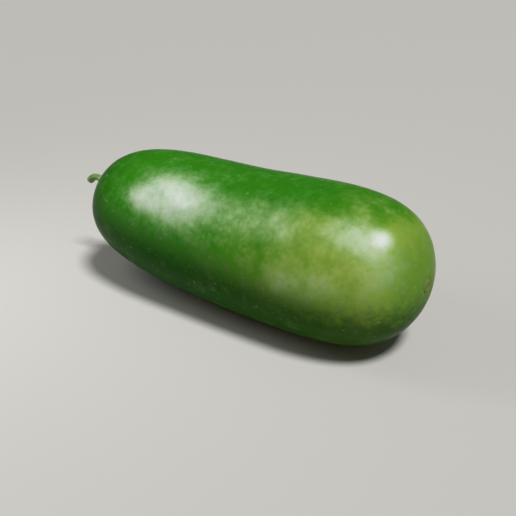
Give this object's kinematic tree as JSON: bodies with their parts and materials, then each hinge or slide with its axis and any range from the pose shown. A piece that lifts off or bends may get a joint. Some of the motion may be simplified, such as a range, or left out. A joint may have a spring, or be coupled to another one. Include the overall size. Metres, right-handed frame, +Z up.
{
  "type": "winter melon",
  "caption": "Long blunt-ended winter melon lying on its flat ground spot, with a hooked, ridged stub of stem at one end.",
  "frame": {"origin": "on the flat ground spot that the fruit rests on, under the middle of the whole length, stem included", "axes": "+X from the stem end to the blossom end, +Z up, +Y to the left when looking from stem to blossom"},
  "size_m": [0.387, 0.139, 0.1367],
  "materials": {
    "rind": "waxy semi-gloss green rind with a pale bloom",
    "stem": "dry fibrous green stem, matt"
  },
  "bodies": {
    "root": {"melon_fruit": "rind", "melon_stem": "stem"}
  },
  "joints": []
}
